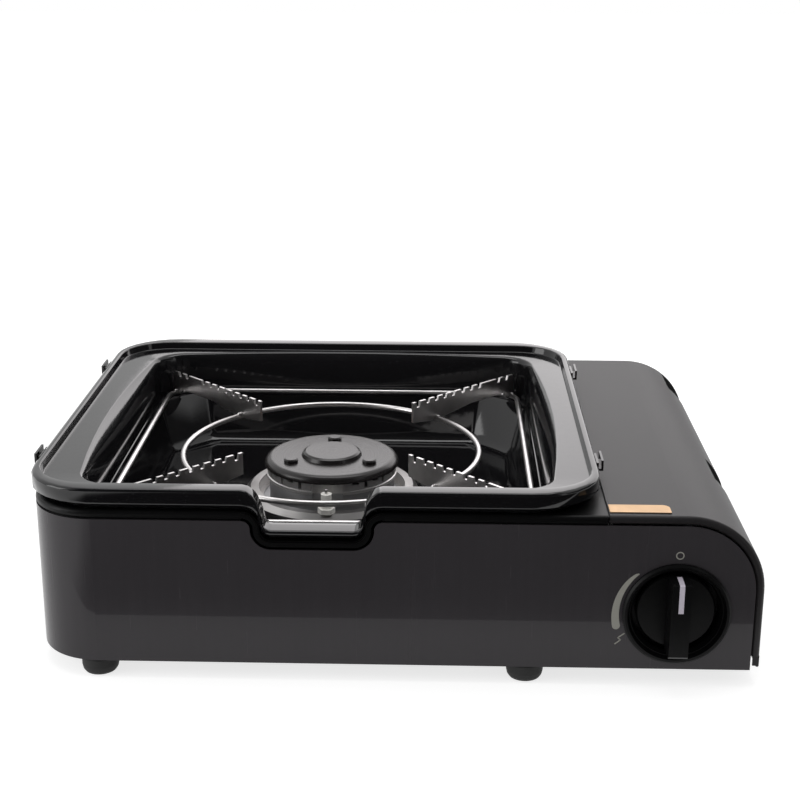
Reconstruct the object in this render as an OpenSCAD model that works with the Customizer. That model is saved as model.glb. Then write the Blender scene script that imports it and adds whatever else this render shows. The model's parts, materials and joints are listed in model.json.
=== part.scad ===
// Portable single-burner gas stove with an enamelled tray and a lift-off pan support.
// Millimetres, +X to the right, +Y to the back, +Z up, standing on the table at Z = 0.
// Modules are drawn with X = 0 and Y = 0 at the middle of the body; placed() moves them to the part's frame.

/* [Body] */
// Width over the left side and the cartridge lid
body_w = 390; // [380:1:410]
// Depth over the front and rear panels
body_d = 294; // [290:1:310]
// Height of the underside above the table
base_z = 10.2; // [9:0.1:12]
// Height of the deck and of the cartridge lid
deck_z = 96.9; // [94:0.1:100]
// Outer radius of the two left corners
corner_r = 36; // [30:1:42]
// Outer radius of the lid's shoulder
shoulder_r = 41.8; // [38:0.2:46]
// Thickness of the body's sheet steel
sheet = 1.2; // [1:0.1:1.5]
// Height of the rolled edge of the deck and the lid
roll_h = 3.4; // [3.2:0.1:4]
// Bend radius of the rolled edge
roll_r = 2.4; // [1.8:0.1:2.6]
// Open joint between a rolled edge and the panels
panel_gap = 1.6; // [1.2:0.1:2]

/* [Sight notch] */
// Half width of the notch in the front panel
notch_half = 32.5; // [31:0.5:38]
// Depth of the notch below the panel's top edge
notch_drop = 16; // [15.5:0.5:18]
// Radius where the panel's edge turns down
notch_top_r = 4.5; // [3:0.5:4.5]
// Radius at the foot of the notch
notch_foot_r = 11; // [8:0.5:11]

/* [Tray] */
// Width of the cartridge strip to the right of the tray
bay_w = 85.2; // [83:0.2:88]
// Reach of the tray's rim beyond the body's left side
tray_left = 1.7; // [1:0.1:3]
// Reach of the tray's rim beyond the front and rear panels
tray_over = 0.3; // [0:0.1:1]
// Height of the rim above the deck
rim_h = 12.1; // [11:0.1:14]
// Width of the raised rim along the tray's sides
rim_side = 4.2; // [4:0.1:6]
// Width of the raised rim along the tray's front and rear
rim_front = 10; // [9:0.1:11]
// Corner radius of the rim
rim_r = 37; // [32:1:40]
// Step down from the rim to the shelf
rim_step = 4.6; // [3.6:0.2:5]
// Distance of the mouth's corners from the rim's sides
mouth_side = 23.9; // [22:0.1:26]
// Distance of the mouth's corners from the rim's front and rear
mouth_front = 21.3; // [20:0.1:24]
// Corner radius of the mouth
mouth_r = 20; // [14:1:26]
// Outward bow of each side of the mouth
mouth_bow = 6.5; // [5:0.5:7.5]
// Depth of the scooped flare below the mouth
flare_h = 6.3; // [5:0.1:8]
// Depth of the bowl's floor below the deck
floor_drop = 49.7; // [47:0.1:50.5]
// Inset of the floor from the bowl's ledge at the sides
floor_side = 11.7; // [10:0.1:16]
// Inset of the floor from the bowl's ledge at the front and rear
floor_front = 16.3; // [12:0.1:20]
// Radius of the burner hole in the floor
hole_r = 57; // [56:0.5:64]
// Thickness of the enamelled sheet
tray_t = 1.4; // [1.2:0.1:1.6]
// Depth of the dip below the rim
dip_drop = 22.3; // [20:0.1:23]
// Reach of the side hooks beyond the rim
hook_reach = 3.8; // [3.4:0.2:6]
// Length of a side hook
hook_l = 16; // [12:1:24]
// Distance of the hooks from the burner axis, along the depth
hook_y = 86; // [70:1:92]

/* [Pan support] */
// Wire radius
wire_r = 1.7; // [1.4:0.1:2.2]
// Depth of the wires' centres below the deck
wire_drop = 17.1; // [15:0.1:18]
// Room between the square frame wire and the nearest sides of the mouth
frame_room = 7; // [6.6:0.1:10]
// Distance of the ring wire inside the frame wire
ring_in = 28.4; // [24:0.2:34]
// Bend radius at the frame's corners
frame_bend = 15; // [12:1:20]
// Reach of a blade inside the ring wire
blade_reach = 21.6; // [18:0.2:24]
// Depth of the blades' tops below the deck
blade_drop = 2.2; // [-3:0.1:4]
// Thickness of a blade
blade_t = 1.6; // [1.4:0.1:2.2]
// Distance between the notches in a blade's top
tooth_pitch = 7.8; // [7:0.1:8.2]
// Depth of the notches in a blade's top
tooth_d = 2.7; // [2:0.1:3.2]

/* [Burner] */
// Radius of the burner cap
cap_r = 41.3; // [40:0.1:42]
// Depth of the cap's rim below the deck
cap_drop = 21.7; // [19:0.1:23]
// Radius of the flame ring
flame_r = 39.5; // [38:0.1:39.8]
// Number of flame slots
flame_slots = 36; // [24:2:48]
// Radius of the bright skirt round the burner
skirt_r = 53.5; // [50:0.5:54.5]
// Depth of the mixing tube's axis below the deck
tube_drop = 63.7; // [63.2:0.1:65]

/* [Control] */
// Distance of the knob's axis right of the cartridge strip's middle
knob_off = -3.1; // [-4:0.1:0]
// Height of the knob's axis above the table
knob_z = 42.7; // [40:0.1:46]
// Radius of the fixed bezel
bezel_r = 28.5; // [27:0.1:30]
// Radius of the knob's disc
knob_r = 21; // [20:0.1:22]
// Reach of the knob in front of the panel
knob_proud = 13; // [12:0.5:16]
// Travel of the knob when it is pushed in
push_travel = 2.8; // [2:0.1:3]
// Radius of the knob's spindle
spindle_r = 4; // [3:0.1:4.5]

/* [Gas supply] */
// Diameter of the gas cartridge that the bay takes
cartridge_d = 67; // [64:0.5:69]
// Height of the cartridge's axis above the table
cartridge_z = 50.2; // [49:0.1:52]
// Radius of the cartridge nozzle's seat
nozzle_r = 4.5; // [3.5:0.1:5]
// Depth of the cartridge nozzle's seat
nozzle_l = 12; // [10:0.5:13]
// Radius of the gas pipe
pipe_r = 3; // [2:0.1:3.5]

/* [Lid] */
// Radius of the lid's hinge pin
pin_r = 1.5; // [1.2:0.1:1.8]
// Outer radius of the hinge knuckles
knuckle_r = 3.2; // [2.9:0.1:3.5]
// Length of a hinge knuckle
knuckle_l = 32; // [24:1:40]

/* [Hidden] */
$fn = 64;

// Clearances
fit = 0.05;
loose = 0.3;
seat = 0.1;
overlap = 0.01;

// Edges of the body
left = -body_w / 2;
right = body_w / 2;
front = -body_d / 2;
back = body_d / 2;
floor_top = base_z + sheet;
panel_inset = roll_h + panel_gap;
panel_top = deck_z - panel_inset;
panel_right = right - panel_inset;
shoulder_x = right - shoulder_r;
shoulder_z = deck_z - shoulder_r;

// Tray, bowl and pan support follow from the body's size
tray_w = body_w - bay_w;
tray_d = body_d + 2 * tray_over;
mouth_w = tray_w - 2 * mouth_side;
mouth_d = tray_d - 2 * mouth_front;
frame_half = min(mouth_w, mouth_d) / 2 - frame_room;
ring_r = frame_half - ring_in;
blade_in = ring_r - blade_reach;
burner_x = left + tray_w / 2;
knob_x = right - bay_w / 2 + knob_off;

// Deck and lid meet under the tray's right rim
tray_right = burner_x + tray_w / 2;
lid_left = tray_right + 2.4;
deck_right = lid_left - 1;
bay_x = deck_right - 3;
lid_setback = 0.8;
deck_open_w = mouth_w + 2 * mouth_bow + 4;
deck_open_d = mouth_d + 2 * mouth_bow + 12;
deck_open_r = 24;
deck_leg = 28;
notch_x = burner_x;
notch_z = panel_top - notch_drop;

// Heights that follow the deck
rim_z = deck_z + rim_h;
floor_z = deck_z - floor_drop;
wire_z = deck_z - wire_drop;
blade_z = deck_z - blade_drop;
cap_z = deck_z - cap_drop;
tube_z = deck_z - tube_drop;
dip_z = rim_z - dip_drop;
shelf_z = rim_z - rim_step;
ledge_z = wire_z - wire_r - loose;
tray_gap = 0.6;
skirt_foot_z = deck_z + tray_gap;
dip_foot_z = skirt_foot_z - notch_drop;

// Feet near the front and rear edges
foot_r = 10;
foot_x = burner_x - 2;
foot_dx = tray_w / 2 - 37;
foot_dy = body_d / 2 - foot_r - 0.2;

// Knob and valve train behind it
bezel_proud = 2.5;
disc_front = front + 3;
knob_back = disc_front + 4.2;
knob_front = front - knob_proud;
cup_r = knob_r + 2.2;
cup_floor = knob_back + push_travel + 0.8;
rib_w = 10.2;
rib_low = knob_r - 0.5;
rib_top = knob_r + 1;
pointer_half = 1.35;
valve_front = cup_floor + sheet + 1;
bush_l = 12;
block_half = 17;
block_y0 = valve_front + bush_l;
block_l = 30;
drum_y0 = block_y0 + block_l;
drum_l = 26;
drum_r = 27;
boss_y0 = drum_y0 + drum_l;
boss_l = 16;
boss_r = 12;
boss_end = boss_y0 + boss_l;
spindle_end = block_y0 + 16;
block_left = knob_x - block_half;
outlet_y = block_y0 + 10;
outlet_z = tube_z;
outlet_l = 9;
guard_y = block_y0 + 23.5;
guard_r = 6;
guard_l = block_left - bay_x - 6.1;
piezo_w = block_left - bay_x - 12.1;
piezo_z0 = outlet_z + 13;

// Burner stack
casting_bottom = tube_z - 7;
collar_z = casting_bottom + 30;
flange_z = collar_z - 6;
flange_r = 44;
ring_foot_z = cap_z - 10.4;
cap_under = cap_z - 3;
cap_round = 4.4;
recess_w = 18.6;
recess_y = -flame_r + 3.5;
casting_r = 38.4;
electrode_d = 47.8;
ceramic_r = 3.2;
probe_r = 2.5;
probe_x = burner_x;
probe_y = electrode_d;
probe_z = collar_z - 14;
electrode_z = collar_z - 24;
electrode_l = 37;
tube_inlet_x = bay_x - 45.8;
jet_x = tube_inlet_x + 8;

// Hinge of the lid along its lower right edge
hinge_x = right - knuckle_r - 0.3;
hinge_z = base_z + knuckle_r + 0.3;
lid_foot_z = hinge_z + knuckle_r + 0.8;
knuckle_pitch = 2 * (knuckle_l + 0.4);
knuckle_count = floor((body_d - 2 * corner_r) / knuckle_pitch);
hinge_y0 = -(knuckle_count - 1) * knuckle_pitch / 2 - knuckle_l / 2;
hinge_y1 = hinge_y0 + (knuckle_count - 0.5) * knuckle_pitch + knuckle_l;

// The part's frame has its origin under the middle of the whole box
box_left = left - tray_left - hook_reach;
box_back = max(tray_d / 2, back);
frame_shift = [-(box_left + right) / 2, -(knob_front + box_back) / 2, 0];

module placed() { translate(frame_shift) children(); }

// Extrudes a profile drawn in X and Z along the depth
module along_y(y0, y1) {
    translate([0, y1, 0]) rotate([90, 0, 0]) linear_extrude(y1 - y0) children();
}

// Extrudes a profile drawn in Y and Z along the width
module along_x(x0, x1) {
    translate([x0, 0, 0]) rotate([90, 0, 90]) linear_extrude(x1 - x0) children();
}

// Extrudes a plan outline between two heights
module upright(z0, z1) {
    translate([0, 0, z0]) linear_extrude(z1 - z0) children();
}

// Cylinder along X, from x0 to x1
module rod_x(x0, x1, y, z, r) {
    translate([x0, y, z]) rotate([0, 90, 0]) cylinder(h = x1 - x0, r = r);
}

// Cylinder along Y, from y0 to y1
module rod_y(y0, y1, x, z, r) {
    translate([x, y1, z]) rotate([90, 0, 0]) cylinder(h = y1 - y0, r = r);
}

// Turned piece about the Y axis; the profile holds radius and distance in front of the panel
module turned_front(x, z) {
    translate([x, front, z]) rotate([90, 0, 0]) rotate_extrude() children();
}

// Tube along a route of points whose bends are all square
module tube_route(points, r, bend) {
    last = len(points) - 1;
    for (i = [0 : last - 1]) {
        way = points[i + 1] - points[i];
        u = way / norm(way);
        trim_start = i == 0 ? 0 : bend;
        trim_end = i == last - 1 ? 0 : bend;
        side = abs(u[2]) > 0.5 ? [1, 0, 0] : [0, 0, 1];
        run_frame(points[i] + u * trim_start, cross(side, u), cross(u, cross(side, u)), u)
            cylinder(h = norm(way) - trim_start - trim_end, r = r);
        if (i < last - 1) {
            ahead = points[i + 2] - points[i + 1];
            v = ahead / norm(ahead);
            run_frame(points[i + 1] - u * bend + v * bend, -v, u, cross(u, v))
                rotate_extrude(angle = 90) translate([bend, 0]) circle(r);
        }
    }
}

// Puts children in the frame with the given origin and axes
module run_frame(origin, ax, ay, az) {
    multmatrix([[ax[0], ay[0], az[0], origin[0]],
                [ax[1], ay[1], az[1], origin[1]],
                [ax[2], ay[2], az[2], origin[2]],
                [0, 0, 0, 1]]) children();
}

// Rectangle with round corners, made of squares and circles
module round_rect(w, d, r) {
    square([w - 2 * r, d], center = true);
    square([w, d - 2 * r], center = true);
    for (sx = [-1, 1], sy = [-1, 1]) {
        translate([sx * (w / 2 - r), sy * (d / 2 - r)]) circle(r);
    }
}

// Plan of the body inset by d, with round left corners, ending square at x1
module body_plan(d, x1) {
    r = corner_r - d;
    translate([left + d + r, front + d]) square([x1 - left - d - r, body_d - 2 * d]);
    translate([left + d, front + corner_r]) square([corner_r, body_d - 2 * corner_r]);
    for (s = [-1, 1]) {
        translate([left + corner_r, s * (body_d / 2 - corner_r)]) circle(r);
    }
}

// Front elevation below the panels' top edge, raised by d, without the notch
module body_elevation(d) {
    inset = panel_inset - d;
    r = shoulder_r - inset;
    translate([left, base_z]) square([shoulder_x - left, panel_top + d - base_z]);
    translate([left, base_z]) square([right - inset - left, shoulder_z - base_z]);
    translate([shoulder_x, shoulder_z]) circle(r);
}

// The notch, narrowed by d all round
module notch_shape(d) {
    w = notch_half - d;
    top = panel_top + d;
    foot = notch_z + d;
    r_foot = notch_foot_r - d;
    r_top = notch_top_r + d;
    translate([notch_x, 0]) {
        translate([-w, foot + r_foot]) square([2 * w, deck_z - notch_z]);
        translate([-w + r_foot, foot]) square([2 * (w - r_foot), r_foot + overlap]);
        for (s = [-1, 1]) {
            translate([s * (w - r_foot), foot + r_foot]) circle(r_foot);
        }
        difference() {
            translate([-w - r_top, top - r_top]) square([2 * (w + r_top), r_top + deck_z - panel_top]);
            for (s = [-1, 1]) {
                translate([s * (w + r_top), top - r_top]) circle(r_top);
            }
        }
    }
}

// Width of the zone where the deck follows the notch
notch_zone = notch_half + notch_top_r;

module base_pan() {
    lip = 6;
    color("dimgray") {
        upright(base_z, floor_top) body_plan(sheet + seat, panel_right - 2 * sheet);
        difference() {
            upright(floor_top, floor_top + lip) body_plan(sheet + seat, panel_right - 2 * sheet);
            upright(base_z, floor_top + lip + overlap) body_plan(2 * sheet + seat, panel_right - 3 * sheet);
        }
        hinge_knuckles(0, floor_top - sheet);
    }
}

// Knuckles of one hinge leaf, every second one, each on a tongue that reaches the leaf
module hinge_knuckles(phase, tongue_z) {
    for (i = [0 : knuckle_count - 1]) {
        y0 = hinge_y0 + (i + phase / 2) * knuckle_pitch;
        difference() {
            union() {
                rod_y(y0, y0 + knuckle_l, hinge_x, hinge_z, knuckle_r);
                if (phase == 0) {
                    translate([panel_right - 2 * sheet, y0, tongue_z])
                        cube([hinge_x - panel_right + 2 * sheet, knuckle_l, sheet]);
                } else {
                    translate([right - sheet, y0, hinge_z]) cube([sheet, knuckle_l, tongue_z - hinge_z]);
                }
            }
            rod_y(y0 - 1, y0 + knuckle_l + 1, hinge_x, hinge_z, pin_r + fit);
        }
    }
}

module outer_panel() {
    color([0.2, 0.19, 0.21]) difference() {
        intersection() {
            difference() {
                upright(base_z, deck_z) body_plan(0, panel_right);
                upright(base_z - 1, deck_z + 1) body_plan(sheet, panel_right + 1);
            }
            along_y(front - 1, back + 1) body_elevation(0);
        }
        along_y(front - 1, front + corner_r) notch_shape(0);
        rod_y(front - 1, front + corner_r, knob_x, knob_z, cup_r + sheet + loose);
    }
}

// Rounded bar that carries a rolled edge: half width, top height, height and corner radius
module rolled_bar(half, top, h, r) {
    translate([-half, top - h]) square([2 * half, h - r]);
    translate([-half + r, top - h]) square([2 * (half - r), h]);
    for (s = [-1, 1]) {
        translate([s * (half - r), top - r]) circle(r);
    }
}

// Section of the deck's rolled edge: outward and upward from its top outer corner
module roll_section() {
    depth = 3 * sheet;
    translate([-depth, -roll_h]) square([depth - roll_r, roll_h]);
    translate([-depth, -roll_h]) square([depth, roll_h - roll_r]);
    translate([-roll_r, -roll_r]) circle(roll_r);
}

module top_deck() {
    leg_in = sheet + 2 * seat;
    zone_x0 = notch_x - notch_zone;
    zone_x1 = notch_x + notch_zone;
    open_front = -deck_open_d / 2;
    inner = 3 * sheet;
    raise = panel_gap + roll_h;
    roll_step = roll_r / 3;
    color([0.13, 0.13, 0.14]) {
        // Plate round the tray's opening, apart from the notch
        difference() {
            upright(deck_z - sheet, deck_z) body_plan(inner, deck_right);
            upright(deck_z - sheet - 1, deck_z + 1)
                translate([burner_x, 0]) round_rect(deck_open_w, deck_open_d, deck_open_r);
            translate([zone_x0, front - 1, deck_z - sheet - 1])
                cube([2 * notch_zone, open_front - front + 1 + overlap, sheet + 2]);
        }
        // Strip and edge that follow the notch
        along_y(front + inner, open_front) notch_edge(raise - sheet, raise);
        along_y(front + roll_step, front + inner) notch_edge(raise - roll_h, raise);
        along_y(front, front + roll_step) notch_edge(raise - roll_h, raise - roll_step);
        // Leg inside the panels
        difference() {
            upright(deck_z - deck_leg, deck_z - roll_h) body_plan(leg_in, deck_right);
            upright(deck_z - deck_leg - 1, deck_z) body_plan(leg_in + sheet, deck_right + 1);
            translate([zone_x0 - 1, front - 1, deck_z - deck_leg - 1])
                cube([2 * notch_zone + 2, inner + 1, deck_leg]);
        }
        // Rolled edge along the rear, the left and the front
        for (s = [-1, 1]) {
            mirror([0, s > 0 ? 1 : 0, 0]) {
                along_x(left + corner_r, s < 0 ? zone_x0 : deck_right)
                    translate([front, deck_z]) mirror([1, 0]) roll_section();
                translate([left + corner_r, front + corner_r, deck_z])
                    rotate([0, 0, 180]) rotate_extrude(angle = 90) translate([corner_r, 0]) roll_section();
            }
        }
        along_x(zone_x1, deck_right) translate([front, deck_z]) mirror([1, 0]) roll_section();
        translate([0, back - corner_r, 0]) rotate([90, 0, 0]) linear_extrude(body_d - 2 * corner_r)
            translate([left, deck_z]) mirror([1, 0]) roll_section();
    }
}

// Band along the notch's edge, between two heights above the panel's edge
module notch_edge(d0, d1) {
    intersection() {
        difference() {
            translate([notch_x - notch_zone, notch_z]) square([2 * notch_zone, panel_top + d1 - notch_z]);
            notch_shape(d1);
        }
        notch_band(d0);
    }
}

// Everything above the notch's edge raised by d, within the notch's zone
module notch_band(d) {
    intersection() {
        translate([notch_x - notch_zone, notch_z]) square([2 * notch_zone, deck_z - notch_z]);
        union() {
            notch_shape(d);
            translate([notch_x - notch_zone, panel_top + d]) square([2 * notch_zone, deck_z]);
        }
    }
}

module bay_wall() {
    flange = 8;
    inset = 3 * sheet + loose;
    top = deck_z - sheet - loose;
    color([0.2, 0.2, 0.2]) {
        difference() {
            translate([bay_x, front + inset, floor_top]) cube([sheet, body_d - 2 * inset, top - floor_top]);
            rod_x(bay_x - 1, bay_x + sheet + 1, outlet_y, outlet_z, pipe_r + 2);
            rod_x(bay_x - 1, bay_x + sheet + 1, guard_y, outlet_z, pipe_r + 1);
            rod_x(bay_x - 1, bay_x + sheet + 1, outlet_y + 5, piezo_z0 + 7, 4);
        }
        translate([bay_x, front + inset, top - sheet])
            cube([lid_left - bay_x + flange, body_d - 2 * inset, sheet]);
    }
}

// One child at each foot
module at_feet() {
    for (sx = [-1, 1], sy = [-1, 1]) {
        translate([foot_x + sx * foot_dx, sy * foot_dy, 0]) children();
    }
}

module rubber_feet() {
    shank = 2.2;
    color([0.08, 0.08, 0.08]) at_feet() difference() {
        rotate_extrude() polygon([[0, 0], [foot_r - 3, 0], [foot_r - 1.5, 0.7], [foot_r - 0.5, 2.2],
                                  [foot_r, 4.5],
                                  [foot_r, base_z - 1], [foot_r - 0.4, base_z], [0, base_z]]);
        translate([0, 0, -1]) cylinder(h = 4.2, r = 4.6);
        translate([0, 0, -1]) cylinder(h = base_z + 2, r = shank);
    }
}

module foot_screws() {
    color("silver") at_feet() {
        translate([0, 0, 3.2]) cylinder(h = base_z - 3.2, r = 2);
        translate([0, 0, 1.2]) cylinder(h = 2, r = 4);
    }
}

module burner_bracket() {
    half = 17;
    span = 27;
    foot = 9;
    color("silver") along_x(burner_x - half, burner_x + half) {
        translate([-span, casting_bottom - sheet]) square([2 * span, sheet]);
        for (s = [-1, 1]) {
            translate([s * (span - sheet / 2) - sheet / 2, floor_top])
                square([sheet, casting_bottom - floor_top]);
            translate([s * (span + foot / 2 - sheet) - foot / 2, floor_top]) square([foot, sheet]);
        }
    }
}

module burner_body() {
    tube_r = 10.2;
    bore = 7;
    flare_r = 11.4;
    flare_l = 24;
    bowl_floor = casting_bottom + 5;
    color("darkgray") difference() {
        union() {
            translate([burner_x, 0, 0]) rotate_extrude()
                polygon([[0, casting_bottom], [24, casting_bottom], [30, casting_bottom + 8],
                         [casting_r - 4, flange_z - 6],
                         [flange_r, flange_z - 3], [flange_r, flange_z], [casting_r, flange_z],
                         [casting_r, ring_foot_z],
                         [0, ring_foot_z]]);
            rod_x(burner_x + 20, tube_inlet_x - flare_l, 0, tube_z, tube_r);
            translate([tube_inlet_x - flare_l, 0, tube_z]) rotate([0, 90, 0])
                cylinder(h = flare_l, r1 = tube_r, r2 = flare_r);
        }
        translate([burner_x, 0, 0]) rotate_extrude()
            polygon([[0, bowl_floor], [22, bowl_floor], [casting_r - 6, flange_z],
                     [casting_r - 6, ring_foot_z + 1],
                     [0, ring_foot_z + 1]]);
        igniter_recess(flange_z + 8, ring_foot_z + 1);
        rod_x(burner_x + 12, tube_inlet_x + 1, 0, tube_z, bore);
        translate([tube_inlet_x - flare_l, 0, tube_z]) rotate([0, 90, 0])
            cylinder(h = flare_l + overlap, r1 = bore, r2 = flare_r - 1.6);
    }
}

// Flat recess for the igniter in the front of the burner, between two heights
module igniter_recess(z0, z1) {
    depth = 6;
    translate([burner_x - recess_w / 2, recess_y - depth, z0]) cube([recess_w, depth, z1 - z0]);
}

// Ring plate with a turned-down edge, on a cup that stands on the casting's flange
module burner_skirt() {
    cup_r = flange_r + 2.5;
    top = collar_z + sheet;
    bend_r = skirt_r - 3.3;
    color("gainsboro") difference() {
        translate([burner_x, 0, 0]) rotate_extrude()
            polygon([[flange_r - 1.5, flange_z], [cup_r, flange_z], [cup_r, collar_z],
                     [bend_r - 0.5, collar_z],
                     [skirt_r - sheet, collar_z - 2.5], [skirt_r - sheet, flange_z], [skirt_r, flange_z],
                     [skirt_r, collar_z - 2], [bend_r, top], [cup_r - sheet, top],
                     [cup_r - sheet, flange_z + sheet],
                     [flange_r - 1.5, flange_z + sheet]]);
        translate([burner_x, -electrode_d, collar_z - 10]) cylinder(h = 20, r = ceramic_r + fit);
        translate([probe_x, probe_y, collar_z - 10]) cylinder(h = 20, r = probe_r + fit);
    }
}

// Ring with narrow deep slots and wide shallow ports in turn, none of them in the igniter's recess
module flame_ring() {
    inner = 32.5;
    slot_size = [2, 4.8];
    port_size = [4.4, 1.9];
    skipped = asin((recess_w / 2 + 2.5) / flame_r);
    color([0.45, 0.43, 0.42]) difference() {
        translate([burner_x, 0, 0]) rotate_extrude()
            polygon([[inner, ring_foot_z], [flame_r + 0.6, ring_foot_z], [flame_r + 0.6, ring_foot_z + 1.6],
                     [flame_r, ring_foot_z + 2], [flame_r, cap_under], [inner, cap_under]]);
        for (i = [0 : flame_slots - 1]) {
            a = (i + 0.5) * 360 / flame_slots;
            size = i % 2 == 0 ? slot_size : port_size;
            if (abs(a - 270) > skipped) {
                translate([burner_x, 0, cap_under - size[1]]) rotate([0, 0, a])
                    translate([inner - 1, -size[0] / 2, 0]) cube([flame_r - inner + 3, size[0], size[1] + 1]);
            }
        }
        igniter_recess(ring_foot_z - 1, cap_under + 1);
    }
}

module burner_cap() {
    boss_top_r = 16;
    boss_foot_r = 18.6;
    boss_h = 2.8;
    top = cap_under + cap_round;
    color([0.36, 0.34, 0.34]) difference() {
        translate([burner_x, 0, 0]) rotate_extrude() intersection() {
            union() {
                translate([0, cap_under]) square([cap_r - cap_round, cap_round]);
                translate([cap_r - cap_round, cap_under]) circle(cap_round);
                polygon([[0, cap_under], [boss_foot_r, top - 1], [boss_foot_r, top],
                         [boss_foot_r - 1, top + boss_h - 0.8],
                         [boss_top_r, top + boss_h], [0, top + boss_h]]);
            }
            translate([0, cap_under]) square([cap_r + 1, 20]);
        }
        cap_rivet_places() cylinder(h = cap_z + 10, r = 2.2);
    }
}

// Three rivets on one circle, one of them at the back
module cap_rivet_places() {
    circle_r = 27.5;
    for (a = [90, 210, 330]) {
        translate([burner_x, 0, 0]) rotate([0, 0, a]) translate([circle_r, 0, 0]) children();
    }
}

module cap_rivets() {
    head_r = 4.3;
    head_z = cap_under + cap_round;
    color("gray") cap_rivet_places() {
        translate([0, 0, cap_under]) cylinder(h = head_z - cap_under, r = 2.2 - fit);
        translate([0, 0, head_z]) cylinder(h = 1.4, r = head_r);
        translate([0, 0, head_z + 1.4]) cylinder(h = 0.8, r1 = head_r, r2 = head_r - 0.8);
    }
}

module jet_bracket() {
    half = 12;
    x0 = jet_x + 6;
    color("silver") difference() {
        union() {
            translate([x0, -half, floor_top]) cube([sheet, 2 * half, tube_z + 9 - floor_top]);
            translate([x0, -half, floor_top]) cube([12, 2 * half, sheet]);
        }
        rod_x(x0 - 1, x0 + sheet + 1, 0, tube_z, 5 + fit);
    }
}

module jet_holder() {
    color("goldenrod") difference() {
        union() {
            rod_x(jet_x - 7, jet_x, 0, tube_z, 2.6);
            rod_x(jet_x, jet_x + 18, 0, tube_z, 5);
            translate([jet_x, 0, tube_z]) rotate([0, 90, 0]) cylinder(h = 6, r = 7, $fn = 6);
        }
        rod_x(jet_x + 8, jet_x + 19, 0, tube_z, pipe_r + fit);
    }
}

module gas_pipe() {
    corner_x = jet_x + 27;
    color("silver") tube_route([[block_left - 2, outlet_y, outlet_z], [corner_x, outlet_y, outlet_z],
                                [corner_x, 0, tube_z], [jet_x + 9, 0, tube_z]], pipe_r, 8);
}

module valve_body() {
    color("darkgray") difference() {
        union() {
            rod_y(valve_front, block_y0, knob_x, knob_z, 9);
            translate([block_left, block_y0, knob_z - block_half])
                cube([2 * block_half, block_l, 2 * block_half]);
            rod_y(drum_y0, boss_y0, knob_x, cartridge_z, drum_r);
            rod_y(boss_y0, boss_end, knob_x, cartridge_z, boss_r);
            rod_x(block_left - outlet_l, block_left, outlet_y, outlet_z, pipe_r + 3.5);
        }
        rod_y(valve_front - 1, spindle_end + push_travel + 1, knob_x, knob_z, spindle_r + fit);
        rod_y(valve_front, drum_y0 - 2, knob_x, knob_z, 1.5 + fit);
        rod_y(boss_end - nozzle_l, boss_end + 1, knob_x, cartridge_z, nozzle_r);
        rod_x(block_left - outlet_l - 1, block_left - 2, outlet_y, outlet_z, pipe_r + fit);
    }
}

module valve_bracket() {
    half = 14;
    seat_z = knob_z - block_half;
    color("silver") along_y(block_y0 + 2, block_y0 + block_l - 2) {
        translate([knob_x - half, seat_z - sheet]) square([2 * half, sheet]);
        for (s = [-1, 1]) {
            translate([knob_x + s * (half - sheet / 2) - sheet / 2, floor_top])
                square([sheet, seat_z - floor_top]);
            translate([knob_x + s * (half + 4 - sheet) - 4, floor_top]) square([8, sheet]);
        }
    }
}

module socket_plate() {
    plate_r = 23;
    color("silver") difference() {
        union() {
            rod_y(boss_y0, boss_y0 + 5, knob_x, cartridge_z, plate_r);
            translate([knob_x - 2.5, boss_y0 + 5, cartridge_z + 15]) cube([5, 7, 3]);
        }
        rod_y(boss_y0 - 1, boss_y0 + 6, knob_x, cartridge_z, boss_r + fit);
        magnet_places() cylinder(h = 3, r = 4 + fit);
    }
}

// Magnets at both sides and below the nozzle seat, each drawn along -Z from the plate's face
module magnet_places() {
    for (a = [0, 180, 270]) {
        translate([knob_x, boss_y0 + 5, cartridge_z]) rotate([0, -a, 0]) translate([17.5, 0, 0])
            rotate([90, 0, 0]) children();
    }
}

module socket_magnets() {
    color("dimgray") magnet_places() translate([0, 0, -1]) cylinder(h = 4, r = 4);
}

module flame_guard_unit() {
    color("goldenrod") {
        rod_x(block_left - 4, block_left, guard_y, outlet_z, guard_r);
        rod_x(block_left - guard_l, block_left - 4, guard_y, outlet_z, guard_r - 1);
    }
}

module thermocouple() {
    color("goldenrod") translate([probe_x, probe_y, 0]) {
        translate([0, 0, probe_z]) cylinder(h = 22, r = probe_r);
        translate([0, 0, probe_z + 22]) cylinder(h = 6, r = probe_r - 0.7);
    }
}

module thermocouple_lead() {
    r = 1.3;
    run_x = bay_x - 5;
    run_y = probe_y + 32;
    color("peru") tube_route([[block_left - guard_l, guard_y, outlet_z], [run_x, guard_y, outlet_z],
                              [run_x, run_y, outlet_z], [probe_x, run_y, outlet_z],
                              [probe_x, probe_y, outlet_z], [probe_x, probe_y, probe_z]], r, 5);
}

module electrode() {
    nut_z = collar_z + sheet;
    color("white") translate([burner_x, -electrode_d, 0]) {
        translate([0, 0, electrode_z]) cylinder(h = electrode_l, r = ceramic_r);
        translate([0, 0, nut_z]) cylinder(h = 3, r = 5.2, $fn = 6);
    }
}

module electrode_pin() {
    color("silver") translate([burner_x, -electrode_d, electrode_z + electrode_l]) cylinder(h = 2.5, r = 0.9);
}

module ignition_lead() {
    r = 1.5;
    drop_x = bay_x - 24;
    lead_y = outlet_y + 5;
    lead_z = piezo_z0 + 7;
    low_z = (floor_top + electrode_z) / 2;
    color("white") tube_route([[block_left - piezo_w, lead_y, lead_z], [drop_x, lead_y, lead_z],
                               [drop_x, lead_y, low_z],
                               [burner_x, lead_y, low_z], [burner_x, -electrode_d, low_z],
                               [burner_x, -electrode_d, electrode_z]], r, 5);
}

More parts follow.
